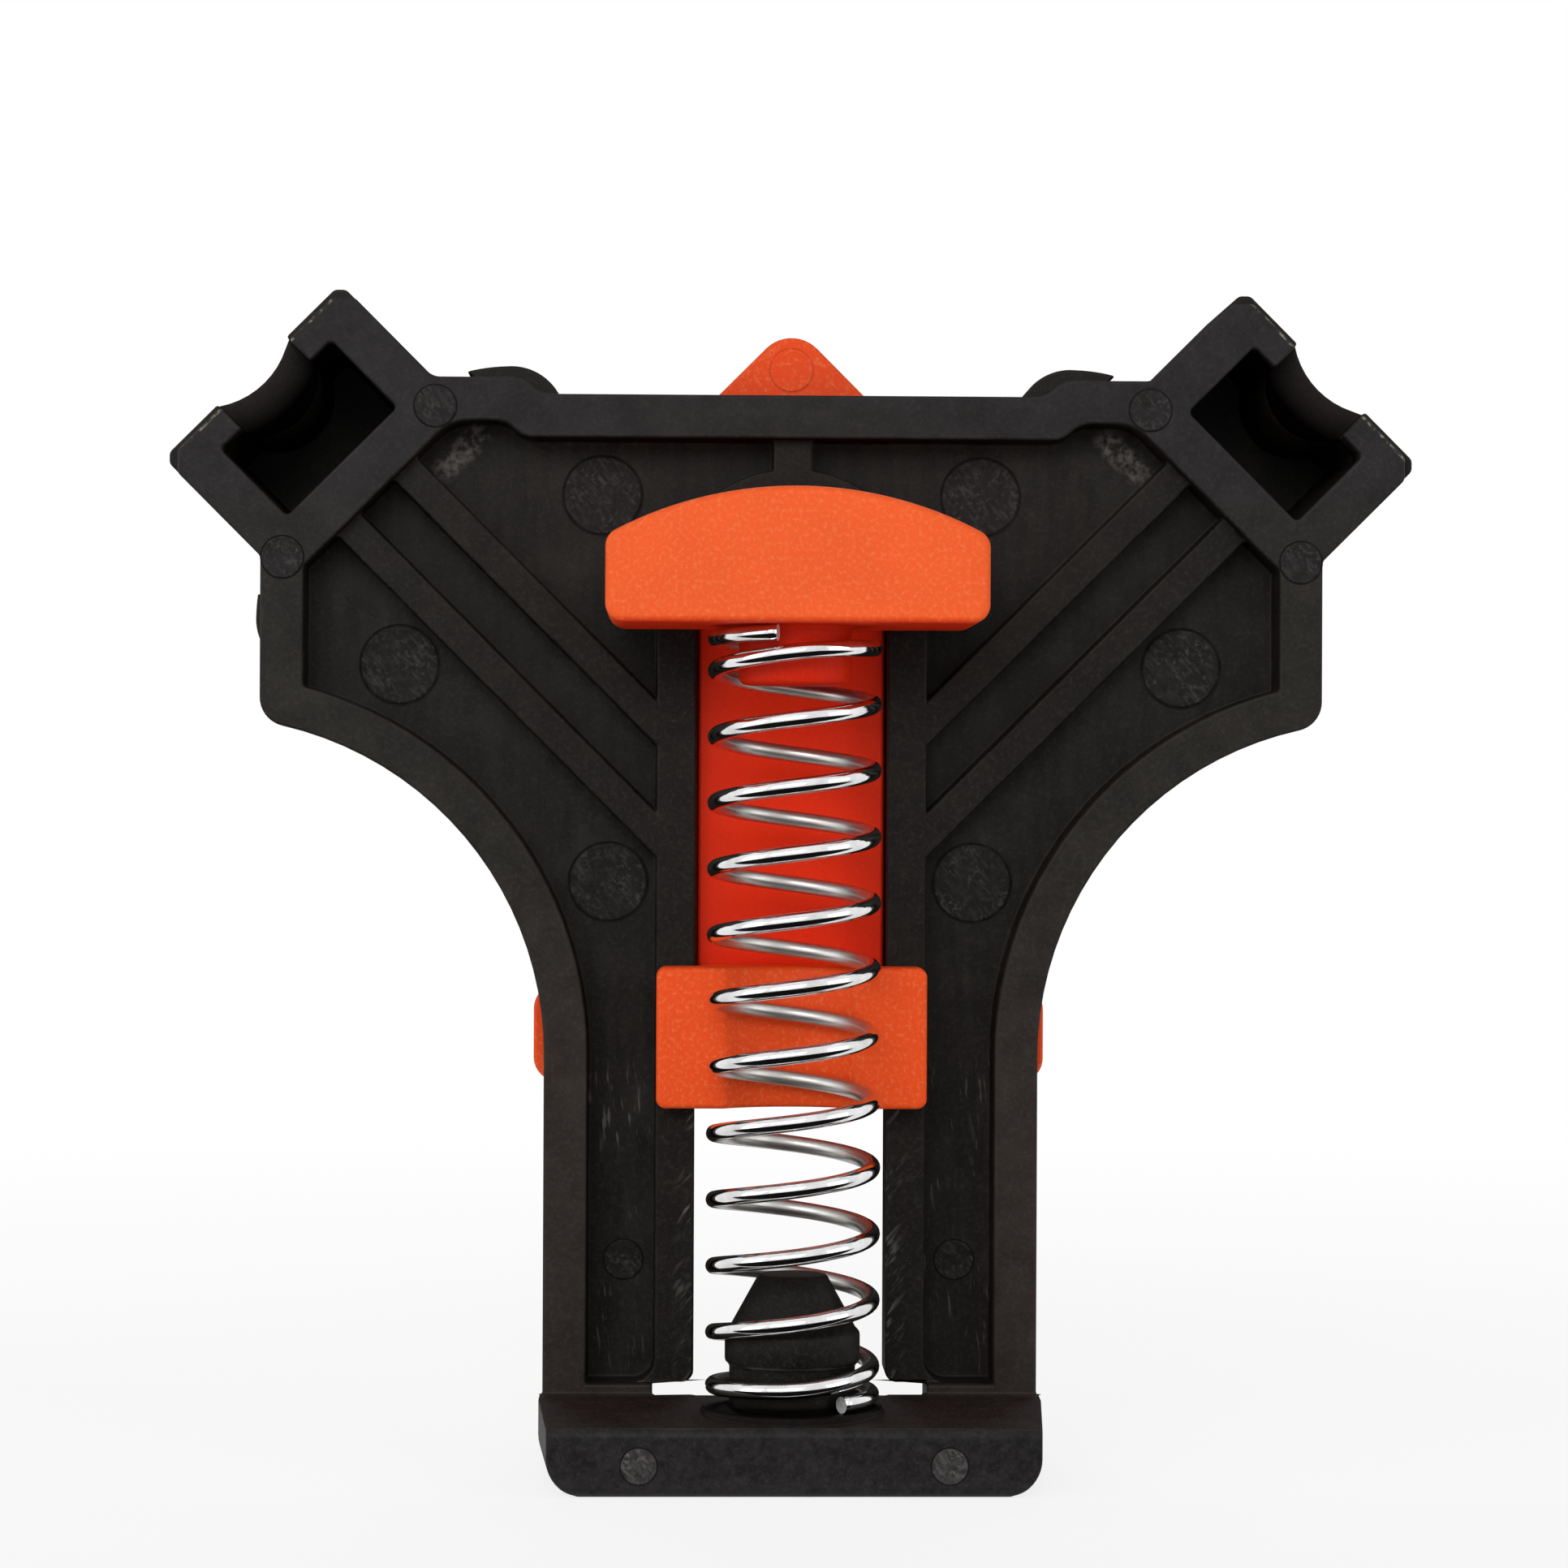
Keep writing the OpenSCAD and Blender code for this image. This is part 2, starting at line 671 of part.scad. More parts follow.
module jaw() color(black) difference() {
    slab(jaw_y0, jaw_y1) on_arm() jaw_plan();
    slab(lug_y - lug_t / 2 - run_gap, lug_y + lug_t / 2 + run_gap) on_arm() {
        translate([0, pivot_u]) circle(lug_slot_r);
        translate([-lug_slot_r, 0]) square([2 * lug_slot_r, pivot_u]);
    }
    slab(pin_y0, jaw_y1 + cut) on_arm() translate([0, pivot_u]) circle(pin_d / 2 + seat_gap);
}

module jaw_pin() color(steel) slab(pin_y0, pin_y1) on_arm() translate([0, pivot_u]) circle(pin_d / 2);

module right_jaw() jaw();
module left_jaw() mirror([1, 0, 0]) jaw();
module right_jaw_pin() jaw_pin();
module left_jaw_pin() mirror([1, 0, 0]) jaw_pin();

// Pan-head screw with a cross recess, driven from the work side
module screw(x, z) color(steel) translate([x, screw_seat, z]) rotate([-90, 0, 0]) difference() {
    rotate_extrude() {
        polygon([[0, -screw_l], [screw_d / 4, -screw_l], [screw_d / 2, -screw_l + screw_d], [screw_d / 2, 0],
            [screw_head_d / 2, 0], [screw_head_d / 2, screw_head_h / 2], [screw_head_d / 3, screw_head_h],
            [0, screw_head_h]]);
    }
    for (a = [0, 90]) rotate(a) translate([0, 0, screw_head_h]) {
        cube([screw_head_d * 0.55, screw_head_d * 0.16, screw_head_h], center = true);
    }
}

module right_thrust_screw() screw(thrust_screw_x, thrust_screw_z);
module left_thrust_screw() screw(-thrust_screw_x, thrust_screw_z);
module right_guide_screw() screw(guide_screw_x, guide_screw_z);
module left_guide_screw() screw(-guide_screw_x, guide_screw_z);

clamp_frame();
return_spring();
slider();
thrust_block();
guide_block();
left_jaw();
right_jaw();
left_jaw_pin();
right_jaw_pin();
left_thrust_screw();
right_thrust_screw();
left_guide_screw();
right_guide_screw();
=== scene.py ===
"""Looks of the one-handed corner clamp: finishes, spring, mould marks, camera and light."""

import json
import math

import bmesh
import bpy
from mathutils import Matrix, Vector

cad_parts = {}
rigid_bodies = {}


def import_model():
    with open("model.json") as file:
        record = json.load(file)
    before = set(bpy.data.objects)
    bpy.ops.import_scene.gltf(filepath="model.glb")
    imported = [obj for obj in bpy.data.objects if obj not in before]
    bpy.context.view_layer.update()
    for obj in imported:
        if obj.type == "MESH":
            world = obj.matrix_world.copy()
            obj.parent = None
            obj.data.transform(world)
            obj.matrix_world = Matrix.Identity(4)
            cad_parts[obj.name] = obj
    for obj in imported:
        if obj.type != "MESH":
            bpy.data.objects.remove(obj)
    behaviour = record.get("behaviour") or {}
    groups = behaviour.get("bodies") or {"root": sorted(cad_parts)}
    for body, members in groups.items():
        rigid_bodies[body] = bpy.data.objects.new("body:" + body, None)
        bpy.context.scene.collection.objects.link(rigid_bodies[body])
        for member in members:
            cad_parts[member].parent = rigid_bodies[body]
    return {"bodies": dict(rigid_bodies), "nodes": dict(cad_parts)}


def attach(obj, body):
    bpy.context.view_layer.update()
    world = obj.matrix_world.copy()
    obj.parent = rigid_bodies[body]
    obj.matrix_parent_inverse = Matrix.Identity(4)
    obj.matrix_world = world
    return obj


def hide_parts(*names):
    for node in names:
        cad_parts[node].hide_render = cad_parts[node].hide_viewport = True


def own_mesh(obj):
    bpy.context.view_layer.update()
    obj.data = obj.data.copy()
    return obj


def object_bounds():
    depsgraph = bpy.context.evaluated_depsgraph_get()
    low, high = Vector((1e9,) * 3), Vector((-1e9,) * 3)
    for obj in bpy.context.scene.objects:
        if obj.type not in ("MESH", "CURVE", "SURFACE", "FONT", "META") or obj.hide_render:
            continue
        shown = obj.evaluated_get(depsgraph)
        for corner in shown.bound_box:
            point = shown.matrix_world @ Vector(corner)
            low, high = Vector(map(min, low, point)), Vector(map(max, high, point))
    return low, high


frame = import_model()
nodes = frame["nodes"]
cad_low, cad_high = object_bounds()
MM = 0.001


def srgb(red, green, blue):
    """Linear colour of an 8-bit display colour."""
    def linear(value):
        share = value / 255
        return share / 12.92 if share <= 0.04045 else ((share + 0.055) / 1.055) ** 2.4
    return (linear(red), linear(green), linear(blue), 1)


# Camera, fitted to the photograph's frame
IMAGE_PX = 1932
SENSOR_MM = 36
FOCAL_PX = 5282.6
VIEW_CENTRE_MM = (0, -9, 74.3)
CAMERA_OFFSET_MM = (-0.888, -466, 0.034)
CAMERA_YAW_DEG = -1.471
CAMERA_PITCH_DEG = 0.123
CAMERA_ROLL_DEG = -0.25
CLIP_START_M = 0.01

# Studio, in metres: lamps as name, place, size and power
LIT_POINT = (0, 0, 0.07)
LAMPS = [
    ("key", (-0.2, -0.85, 0.45), (0.7, 0.4), 3.5),
    ("left_fill", (-0.8, -0.5, 0.25), (0.5, 0.7), 1.6),
    ("right_fill", (0.8, -0.5, 0.25), (0.5, 0.7), 1.6),
    ("back_fill", (0, 0.8, 0.6), (0.9, 0.5), 3.0),
]
WORLD_LIGHT = 0.35
FLOOR_TONE = (0.9, 0.9, 0.9, 1)
FLOOR_HALF = 3
FLOOR_DROP_MM = 0.05
GLOW_REACH = (0.12, 0.45)
GLOW_SHARE = (0.82, 1)
CARD_TONE = (0.01, 0.01, 0.01, 1)
CARD_LIFT_MM = 0.5
FRONT_CARD_X = 0.24
FRONT_CARD_Y = (-0.42, -0.032)
BACK_CARD_X = 0.1
BACK_CARD_Y = 0.06
BACK_CARD_TOP = 0.4

# Levels of the frame's faces and places of its finishes, painted shadow and painted highlight, in
# millimetres in the frame of the solids
FLOOR_Y = -3
RAIL_Y = -7
RIM_Y = -9
PALM_FRONT_Y = -29
PALM_Z = 9
ARROW_Y = 0.3
BOSS_Y = -5
NECK_FADE_Z = (66, 44)
TOP_FADE_Z = (98, 108)
SEAT_SHADOW_R = (10.1, 9.5)
NECK_X = (14.9, 22.4)
NECK_Z = (14, 40)
SLOT_Z = (10, 38)
HATCH_X = (10.2, 11.4)
SLOT_HIGHLIGHT_X = (9.6, 10.6)

# Places on the arms: outward from the palm plate along an arm, and along its end edge, for the post
# edge's painted highlight, the bosses' painted shade and the tray smears
POST_EDGE = 125.19
BOSS_SHADE_START = (115, 116)
NOTCH_CENTRE = (133.7, 42.5, 0)
NOTCH_SHADE_R = (9.8, 13.3)
SMEAR_OUTWARD = (103.2, 104.6)
SMEAR_ALONG = (50, 54.6)

# Dark and light tones of the black nylon, with painted shade in the rail, tray, seat and boss tones, a
# partly painted sheen in the shelf tones, and painted highlight in the glint tone and the pale wear tone
RIM_TONES = srgb(26, 23, 20), srgb(38, 35, 31)
NECK_TONES = srgb(37, 30, 26), srgb(48, 41, 37)
TOP_TONES = srgb(24, 22, 22), srgb(36, 34, 35)
SHADED_RAIL_TONES = srgb(14, 9, 6), srgb(23, 19, 15)
SHADED_TRAY_TONES = srgb(14, 10, 8), srgb(27, 23, 19)
TRAY_HAZE = srgb(46, 43, 39)
SHELF_SHEEN_TONES = srgb(23, 15, 13), srgb(33, 24, 21)
FRONT_TONES = srgb(22, 20, 20), srgb(37, 35, 36)
SPRING_POST_TONES = srgb(13, 10, 8), srgb(23, 20, 18)
SEAT_SHADOW_TONE = srgb(9, 6, 5)
BOSS_SHADE_TONES = srgb(16, 9, 6), srgb(2, 1, 1)
JAW_TONES = srgb(18, 16, 14), srgb(30, 27, 25)
TRAY_MARK_TONES = srgb(18, 15, 13), srgb(32, 29, 27)
POST_MARK_TONES = srgb(22, 20, 19), srgb(33, 31, 31)
PALM_MARK_TONES = srgb(38, 36, 36), srgb(66, 62, 63)
RING_TONES = srgb(9, 8, 8), srgb(24, 22, 21)
PAINTED_GLINT_TONE = srgb(128, 121, 106)
PALE_WEAR_AND_HIGHLIGHT = srgb(98, 95, 91)
SCRATCHED_NYLON = srgb(112, 107, 106)
WHITE = (1, 1, 1, 1)
BLACK = (0, 0, 0, 1)

# Tones of the orange plastic, with painted shade in a deeper tone and fewer pale specks on the thrust
# block's lower edge and the slider's keel in the slot, and where it sets in
THRUST_TONE = srgb(246, 95, 40)
THRUST_SHADE = {"painted_shade_tone": srgb(216, 36, 4), "axis": "z", "start": 91.8, "end": 91}
# The guide block and the slider are a little deeper than the thrust block: painted shade for the dimmer
# light on faces further in
GUIDE_TONE = srgb(244, 82, 28)
SLIDER_TONE = srgb(244, 78, 28)
SLIDER_SHADE = {"painted_shade_tone": srgb(236, 46, 8), "axis": "y", "start": -1, "end": -3}
RING_ORANGE = srgb(214, 60, 22)
WORN_ORANGE = srgb(255, 170, 112)

# Colours of the metals
OUTER_STEEL = (0.83, 0.83, 0.84, 1)
INNER_STEEL = (0.6, 0.59, 0.57, 1)
STEEL_STAIN = srgb(170, 166, 160)
CUT_STEEL = (0.75, 0.75, 0.74, 1), (0.92, 0.92, 0.91, 1)
ZINC = (0.62, 0.62, 0.6, 1), (0.52, 0.52, 0.5, 1)

# Specular levels
NYLON_GLOSS = 0.13
RING_GLOSS = 0.1
ORANGE_GLOSS = 0.12

# Softened edges
WELD_MM = 0.002
CLEAN_MM = 0.005
EDGE_ANGLE_DEG = 32
FINE_EDGE_MM = 0.4

# Spring wire
SPRING_Y = -18.5
SPRING_R = 8.4
WIRE_D = 1.8
WIRE_Z = (9.15, 90.15)
SPRING_TURNS = 12.86
SPRING_PITCH = 7.036
CLOSED_PITCH = 1.9
SPRING_START_DEG = -53.5
STEPS_PER_TURN = 64
WIRE_SIDES = 20
BEND_TURNS = (-0.05, -0.025, 0, 0.025, 0.05)

# Ejector marks: right-hand centres as x and z, and radii
FLOOR_MARKS = [(43.0, 87.25), (20.8, 106.0), (20.0, 63.5)]
FLOOR_MARK_R = 4.5
NECK_MARKS = [(18.2, 22.0)]
NECK_MARK_R = 2.3
POST_MARKS = [(38.9, 115.2), (55.4, 98.7)]
POST_MARK_R = 2.4
PALM_MARKS = [(16.2, 3.3)]
PALM_MARK_R = 2.0
ARROW_MARKS = [(0, 120.2)]
ARROW_MARK_R = 2.5
# Share of the radius and height of each ring of a mark, and the first ring of its witness line
MARK_PROFILE = [
    (0, 0.06), (0.5, 0.07), (0.9, 0.1), (0.93, 0.07), (0.965, 0.02), (1.0, 0.04), (1.0, -0.3),
]
MARK_RING = 3
MARK_SIDES = 64
MERGE_MM = 0.001


def clear_stage():
    """Removes anything the start file brought that isn't part of the frame."""
    keep = set(nodes.values()) | set(frame["bodies"].values())
    for obj in list(bpy.context.scene.objects):
        if obj not in keep:
            bpy.data.objects.remove(obj)


class Finish:
    """A material with a principled shader and short calls that add its nodes."""

    def __init__(self, name):
        self.material = bpy.data.materials.new(name)
        self.material.use_nodes = True
        self.tree = self.material.node_tree
        self.shader = self.tree.nodes["Principled BSDF"]
        self.place = self.add("ShaderNodeTexCoord").outputs["Object"]
        self.x, self.y, self.z = self.add("ShaderNodeSeparateXYZ", {"Vector": self.place}).outputs

    def add(self, kind, inputs=None, **settings):
        """Adds a node. Inputs that are sockets are linked, other values are set."""
        node = self.tree.nodes.new(kind)
        for key, value in settings.items():
            setattr(node, key, value)
        for key, value in (inputs or {}).items():
            self.feed(node.inputs[key], value)
        return node

    def feed(self, socket, value):
        """Links a socket to another one, or sets its value."""
        if isinstance(value, bpy.types.NodeSocket):
            self.tree.links.new(value, socket)
        else:
            socket.default_value = value

    def set(self, **inputs):
        """Sets or links the principled shader's inputs."""
        for key, value in inputs.items():
            self.feed(self.shader.inputs[key.replace("_", " ")], value)

    def stretched(self, scale, turn_deg=0):
        """Object coordinates, turned about Y and then stretched."""
        turn = (0, math.radians(turn_deg), 0)
        turned = self.add("ShaderNodeMapping", {"Vector": self.place, "Rotation": turn}).outputs[0]
        return self.add("ShaderNodeMapping", {"Vector": turned, "Scale": scale}).outputs[0]

    def distance(self, first, second, third, centre_mm):
        """Distance of a place, given by three values, from a centre."""
        place = self.add("ShaderNodeCombineXYZ", {0: first, 1: second, 2: third}).outputs[0]
        centre = tuple(value * MM for value in centre_mm)
        node = self.add("ShaderNodeVectorMath", {0: place, 1: centre}, operation="DISTANCE")
        return node.outputs["Value"]

    def coil_reach(self):
        """Distance from the spring's axis."""
        return self.distance(self.x, self.y, 0, (0, SPRING_Y, 0))

    def noise(self, size_mm, detail=2.0, rough=0.5, place=None):
        """Noise with features of about that size."""
        node = self.add("ShaderNodeTexNoise", {"Vector": place or self.place})
        node.inputs["Scale"].default_value = 1 / (size_mm * MM)
        node.inputs["Detail"].default_value = detail
        node.inputs["Roughness"].default_value = rough
        return node.outputs["Fac"]

    def ramp(self, value, start, end, low=0.0, high=1.0):
        """Value mapped from start..end to low..high, clamped."""
        node = self.add("ShaderNodeMapRange", {"Value": value})
        for key, number in (("From Min", start), ("From Max", end), ("To Min", low), ("To Max", high)):
            node.inputs[key].default_value = number
        return node.outputs[0]

    def fade(self, value, start_mm, end_mm):
        """0 before a place along an axis and 1 after another."""
        return self.ramp(value, start_mm * MM, end_mm * MM)

    def band(self, value, low_mm, high_mm, soft_mm):
        """1 between two places along an axis, fading to 0 outside them."""
        rise = self.fade(value, low_mm - soft_mm, low_mm)
        fall = self.fade(value, high_mm + soft_mm, high_mm)
        return self.maths("MULTIPLY", rise, fall)

    def maths(self, operation, first, second=0.0):
        """Result of one operation on two values."""
        node = self.add("ShaderNodeMath", operation=operation)
        self.feed(node.inputs[0], first)
        self.feed(node.inputs[1], second)
        return node.outputs[0]

    def times(self, *values):
        """Product of several values."""
        result = values[0]
        for value in values[1:]:
            result = self.maths("MULTIPLY", result, value)
        return result

    def most(self, *values):
        """Largest of several values."""
        result = values[0]
        for value in values[1:]:
            result = self.maths("MAXIMUM", result, value)
        return result

    def mix(self, share, first, second):
        """Colour mix."""
        node = self.add("ShaderNodeMix", data_type="RGBA")
        self.feed(node.inputs["Factor"], share)
        self.feed(node.inputs[6], first)
        self.feed(node.inputs[7], second)
        return node.outputs[2]

    def bump(self, height, depth_mm, normal=None):
        """Normal of a surface with that relief, on top of another normal where one is given."""
        node = self.add("ShaderNodeBump", {"Height": height})
        node.inputs["Strength"].default_value = 1
        node.inputs["Distance"].default_value = depth_mm * MM
        if normal:
            self.feed(node.inputs["Normal"], normal)
        return node.outputs[0]

    def edges(self, radius_mm):
        """1 near sharp edges and 0 elsewhere."""
        soft = self.add("ShaderNodeBevel", samples=6)
        soft.inputs["Radius"].default_value = radius_mm * MM
        flat = self.add("ShaderNodeNewGeometry").outputs["Normal"]
        node = self.add("ShaderNodeVectorMath", {0: soft.outputs[0], 1: flat}, operation="DOT_PRODUCT")
        return self.ramp(node.outputs["Value"], 1.0, 0.8)


def shade(colour, share):
    """A colour made darker by that share."""
    return [channel * share for channel in colour[:3]] + [1]


def nylon_surface(f, body, sharp, pale, clean=0.0):
    """Shared look of the black mouldings: fine grain, flow marks, worn edges and pale scuffs, which on
    the frame carry a painted highlight along the slot's edges.
    """
    grain = f.noise(0.4, 3, 0.65)
    wear = f.times(sharp, f.ramp(f.noise(4, 3), 0.35, 0.7, 0.1, 0.5))
    specks = f.times(f.ramp(f.noise(0.3, 2), 0.62, 0.74), f.ramp(f.noise(7, 3), 0.5, 0.7, 0.05, 0.25))
    dots = f.ramp(grain, 0.48, 0.72, 0, 0.12)
    marks = f.times(f.most(wear, specks, dots, pale), f.maths("SUBTRACT", 1.0, clean))
    f.set(Base_Color=f.mix(marks, body, PALE_WEAR_AND_HIGHLIGHT))
    f.set(Roughness=f.ramp(grain, 0.3, 0.7, 0.46, 0.6))
    f.set(Normal=f.bump(grain, 0.03, f.bump(f.noise(2.5, 2), 0.03)))
    f.set(Specular_IOR_Level=NYLON_GLOSS)


def plate_tone(f, mottle):
    """Trays and rails darkened below the rim as painted shade, the rails a step up from the trays, and
    rims that are browner at the neck and cooler at the top.
    """
    streaks = f.ramp(f.noise(1.6, 4, 0.6, f.stretched((1, 1, 0.16))), 0.34, 0.66)
    haze = f.ramp(f.noise(8, 4, 0.6), 0.5, 0.7, 0, 0.4)
    shaded_tray = f.mix(haze, f.mix(streaks, *SHADED_TRAY_TONES), TRAY_HAZE)
    rim = f.mix(mottle, *RIM_TONES)
    rim = f.mix(f.fade(f.z, *NECK_FADE_Z), rim, f.mix(mottle, *NECK_TONES))
    rim = f.mix(f.fade(f.z, *TOP_FADE_Z), rim, f.mix(mottle, *TOP_TONES))
    # Painted shade: the rails and trays below the rim get darker tones than the rim
    body = f.mix(f.fade(f.y, FLOOR_Y - 1, RAIL_Y + 0.5), shaded_tray, f.mix(mottle, *SHADED_RAIL_TONES))
    return f.mix(f.fade(f.y, RAIL_Y - 0.5, RIM_Y + 0.5), body, rim)


def palm_tone(f, body, mottle):
    """The palm plate's shelf, its reddish tone partly a painted sheen, and front, the spring post, and a
    painted shadow on the seat under the coil, whose mask is also returned.
    """
    on_palm = f.times(f.fade(f.y, RIM_Y - 0.6, RIM_Y - 2), f.fade(f.z, PALM_Z + 0.5, PALM_Z - 0.5))
    # Partly painted sheen: the shelf's dark tone is its own, and its reddish brown stands in for a faint
    # reddish reflection
    shelf_with_sheen = f.mix(f.ramp(f.noise(3, 4, 0.6), 0.35, 0.65), *SHELF_SHEEN_TONES)
    front = f.mix(f.ramp(f.noise(1.4, 5, 0.7), 0.38, 0.62), *FRONT_TONES)
    plate = f.mix(f.fade(f.y, PALM_FRONT_Y + 1.4, PALM_FRONT_Y + 0.6), shelf_with_sheen, front)
    # Painted shadow: the seat under the coil is painted near black out to the coil's outer radius
    seat_shadow = f.times(on_palm, f.fade(f.coil_reach(), *SEAT_SHADOW_R))
    body = f.mix(seat_shadow, f.mix(on_palm, body, plate), SEAT_SHADOW_TONE)
    post = f.times(f.fade(f.y, RIM_Y - 0.8, RIM_Y - 1.4), f.fade(f.z, PALM_Z - 0.2, PALM_Z + 0.6))
    return f.mix(post, body, f.mix(mottle, *SPRING_POST_TONES)), seat_shadow


def arm_axes(f):
    """Distance from the middle, and the two axes of an arm, the same on both sides."""
    side = f.maths("ABSOLUTE", f.x)
    outward = f.times(f.maths("ADD", side, f.z), math.sqrt(0.5))
    along = f.times(f.maths("SUBTRACT", f.z, side), math.sqrt(0.5))
    return side, outward, along


def marks_and_slot_highlight(f, side, outward, along, sharp):
    """Pale marks: strokes on the neck's floor, hatching beside the slot with a painted highlight along
    its edges, and smears in the trays.
    """
    on_floor = f.band(f.y, FLOOR_Y - 1, FLOOR_Y + 1, 1)
    strokes = f.ramp(f.noise(0.45, 2, 0.6, f.stretched((1, 1, 0.13), 4)), 0.6, 0.7)
    neck = f.times(on_floor, f.band(side, *NECK_X, 0.4), f.band(f.z, *NECK_Z, 8))
    neck_marks = f.times(strokes, neck, f.ramp(f.noise(6, 2), 0.44, 0.64, 0.08, 0.8))
    beside_slot = f.times(f.band(f.y, RAIL_Y - 0.4, RAIL_Y + 0.4, 0.2), f.band(f.z, *SLOT_Z, 3))
    hatch = f.ramp(f.noise(0.45, 2, 0.6, f.stretched((0.16, 1, 1), 52)), 0.55, 0.68)
    hatched = f.times(f.band(side, *HATCH_X, 1.6), f.ramp(f.noise(5, 2), 0.34, 0.6, 0.15, 0.8))
    # Painted highlight: a pale line along the slot's edges, where the edges are sharp
    slot_highlight = f.times(f.band(side, *SLOT_HIGHLIGHT_X, 0.3), f.ramp(f.noise(3, 3), 0.3, 0.6, 0.2, 0.8))
    rail_marks_and_highlight = f.times(beside_slot, f.most(f.times(hatch, hatched), f.times(sharp, slot_highlight)))
    corner = f.times(on_floor, f.band(outward, *SMEAR_OUTWARD, 1), f.band(along, *SMEAR_ALONG, 2))
    smears = f.times(corner, f.ramp(f.noise(0.8, 4, 0.7), 0.42, 0.62))
    return f.most(neck_marks, rail_marks_and_highlight, smears)


def frame_nylon():
    """Frame: paler spark-eroded rims, painted shade in the trays, rails, bosses and seat, painted
    highlight on the post edges and slot edges, a partly painted sheen on the shelf, and marks from use.
    """
    f = Finish("frame_nylon_finish")
    side, outward, along = arm_axes(f)
    mottle = f.ramp(f.noise(4, 6, 0.7), 0.36, 0.64)
    body, seat_shadow = palm_tone(f, plate_tone(f, mottle), mottle)
    # Painted shade: the half-round bosses behind the notches are painted near black, blacker away from
    # the notches
    shaded_boss = f.times(f.band(f.y, BOSS_Y - 0.3, BOSS_Y + 0.8, 0.3), f.fade(outward, *BOSS_SHADE_START))
    painted_shade = f.times(shaded_boss, f.fade(f.distance(outward, along, 0, NOTCH_CENTRE), *NOTCH_SHADE_R))
    body = f.mix(shaded_boss, body, f.mix(painted_shade, *BOSS_SHADE_TONES))
    # Painted highlight: bright specks along the posts' front edges stand in for glints
    glint_band = f.times(f.band(outward, POST_EDGE - 0.3, POST_EDGE - 0.1, 0.1),
                  f.fade(f.y, RIM_Y + 0.55, RIM_Y + 0.3))
    painted_glints = f.times(glint_band, f.ramp(f.noise(0.8, 3), 0.5, 0.62))
    body = f.mix(painted_glints, body, PAINTED_GLINT_TONE)
    sharp = f.edges(0.45)
    # Painted shade: the specular sheen is tinted black where the bosses and the seat are painted dark
    f.set(Specular_Tint=f.mix(f.most(painted_shade, seat_shadow), WHITE, BLACK))
    # Pale marks are left out where the painted shade and the painted highlight lie
    nylon_surface(f, body, sharp, marks_and_slot_highlight(f, side, outward, along, sharp), f.most(shaded_boss, painted_glints, seat_shadow))
    return f.material


def jaw_nylon():
    """Jaws: plain black nylon with flow marks."""
    f = Finish("jaw_nylon_finish")
    body = f.mix(f.ramp(f.noise(6, 4, 0.6), 0.35, 0.65), *JAW_TONES)
    nylon_surface(f, body, f.edges(0.45), 0.0)
    return f.material


def mark_nylon(name, tones, share):
    """Ejector marks: duller discs with that share of pale specks and short scratches."""
    f = Finish(name)
    body = f.mix(f.ramp(f.noise(1.2, 4, 0.7), 0.36, 0.66), *tones)
    scratches = f.ramp(f.noise(0.4, 2, 0.6, f.stretched((1, 1, 0.25), 38)), 0.52, 0.72, 0, 0.8 * share)
    specks = f.ramp(f.noise(0.5, 2), 0.52, 0.74, 0, share)
    pale = f.times(f.most(scratches, specks), f.ramp(f.noise(2.2, 2), 0.38, 0.62, 0.3, 1))
    grain = f.noise(0.3, 3)
    f.set(Base_Color=f.mix(pale, body, SCRATCHED_NYLON), Specular_IOR_Level=NYLON_GLOSS)
    f.set(Roughness=f.ramp(grain, 0.3, 0.7, 0.5, 0.65), Normal=f.bump(grain, 0.05))
    return f.material


def ring_nylon():
    """The dark witness line round an ejector mark."""
    f = Finish("ring_nylon_finish")
    f.set(Base_Color=f.mix(f.ramp(f.noise(1.2, 3), 0.35, 0.7), *RING_TONES))
    f.set(Roughness=f.ramp(f.noise(0.4, 2), 0.3, 0.7, 0.6, 0.75), Specular_IOR_Level=RING_GLOSS)
    return f.material


def orange_plastic(name, tone, painted_shade_tone=None, axis="y", start=0, end=1):
    """Bright orange moulding with a fine spark-eroded grain, and painted shade, a deeper tone with fewer
    pale specks, from start to end.
    """
    f = Finish(name)
    grain = f.noise(0.5, 3, 0.65)
    body = f.mix(f.ramp(f.noise(9, 3), 0.3, 0.7), shade(tone, 0.92), tone)
    dots = f.ramp(grain, 0.5, 0.74, 0, 0.6)
    if painted_shade_tone:
        # Painted shade: a deeper tone, with fewer pale specks, past the given place along the axis
        painted_shade = f.fade(getattr(f, axis), start, end)
        body = f.mix(painted_shade, body, painted_shade_tone)
        dots = f.times(dots, f.ramp(painted_shade, 0, 1, 1, 0.15))
    wear = f.times(f.edges(0.6), f.ramp(f.noise(3, 3), 0.3, 0.7, 0.1, 0.3))
    f.set(Base_Color=f.mix(f.most(dots, wear), body, f.mix(0.45, body, WORN_ORANGE)))
    f.set(Roughness=f.ramp(grain, 0.3, 0.7, 0.4, 0.54), Normal=f.bump(grain, 0.035))
    f.set(Specular_IOR_Level=ORANGE_GLOSS)
    return f.material


